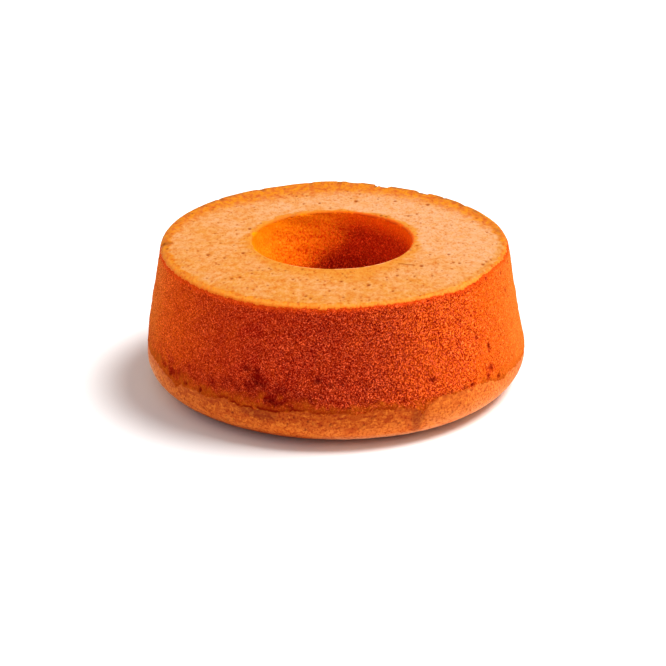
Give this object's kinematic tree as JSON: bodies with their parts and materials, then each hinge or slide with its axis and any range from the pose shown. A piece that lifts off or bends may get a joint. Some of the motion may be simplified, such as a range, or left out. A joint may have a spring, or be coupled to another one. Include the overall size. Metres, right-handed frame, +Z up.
{
  "type": "chiffon cake",
  "caption": "Tall ring-shaped chiffon cake with a wide hole through the middle, a smooth top, tapered torn-crumb sides and a smooth bulging foot.",
  "frame": {"origin": "middle of the flat underside that the cake stands on", "axes": "+Z up along the axis of the hole, the side shown in the picture faces -Y"},
  "size_m": [0.2362, 0.236, 0.0883],
  "materials": {
    "sponge": "orange baked sponge, porous and matte"
  },
  "bodies": {
    "root": {"chiffon_cake": "sponge"}
  },
  "joints": []
}
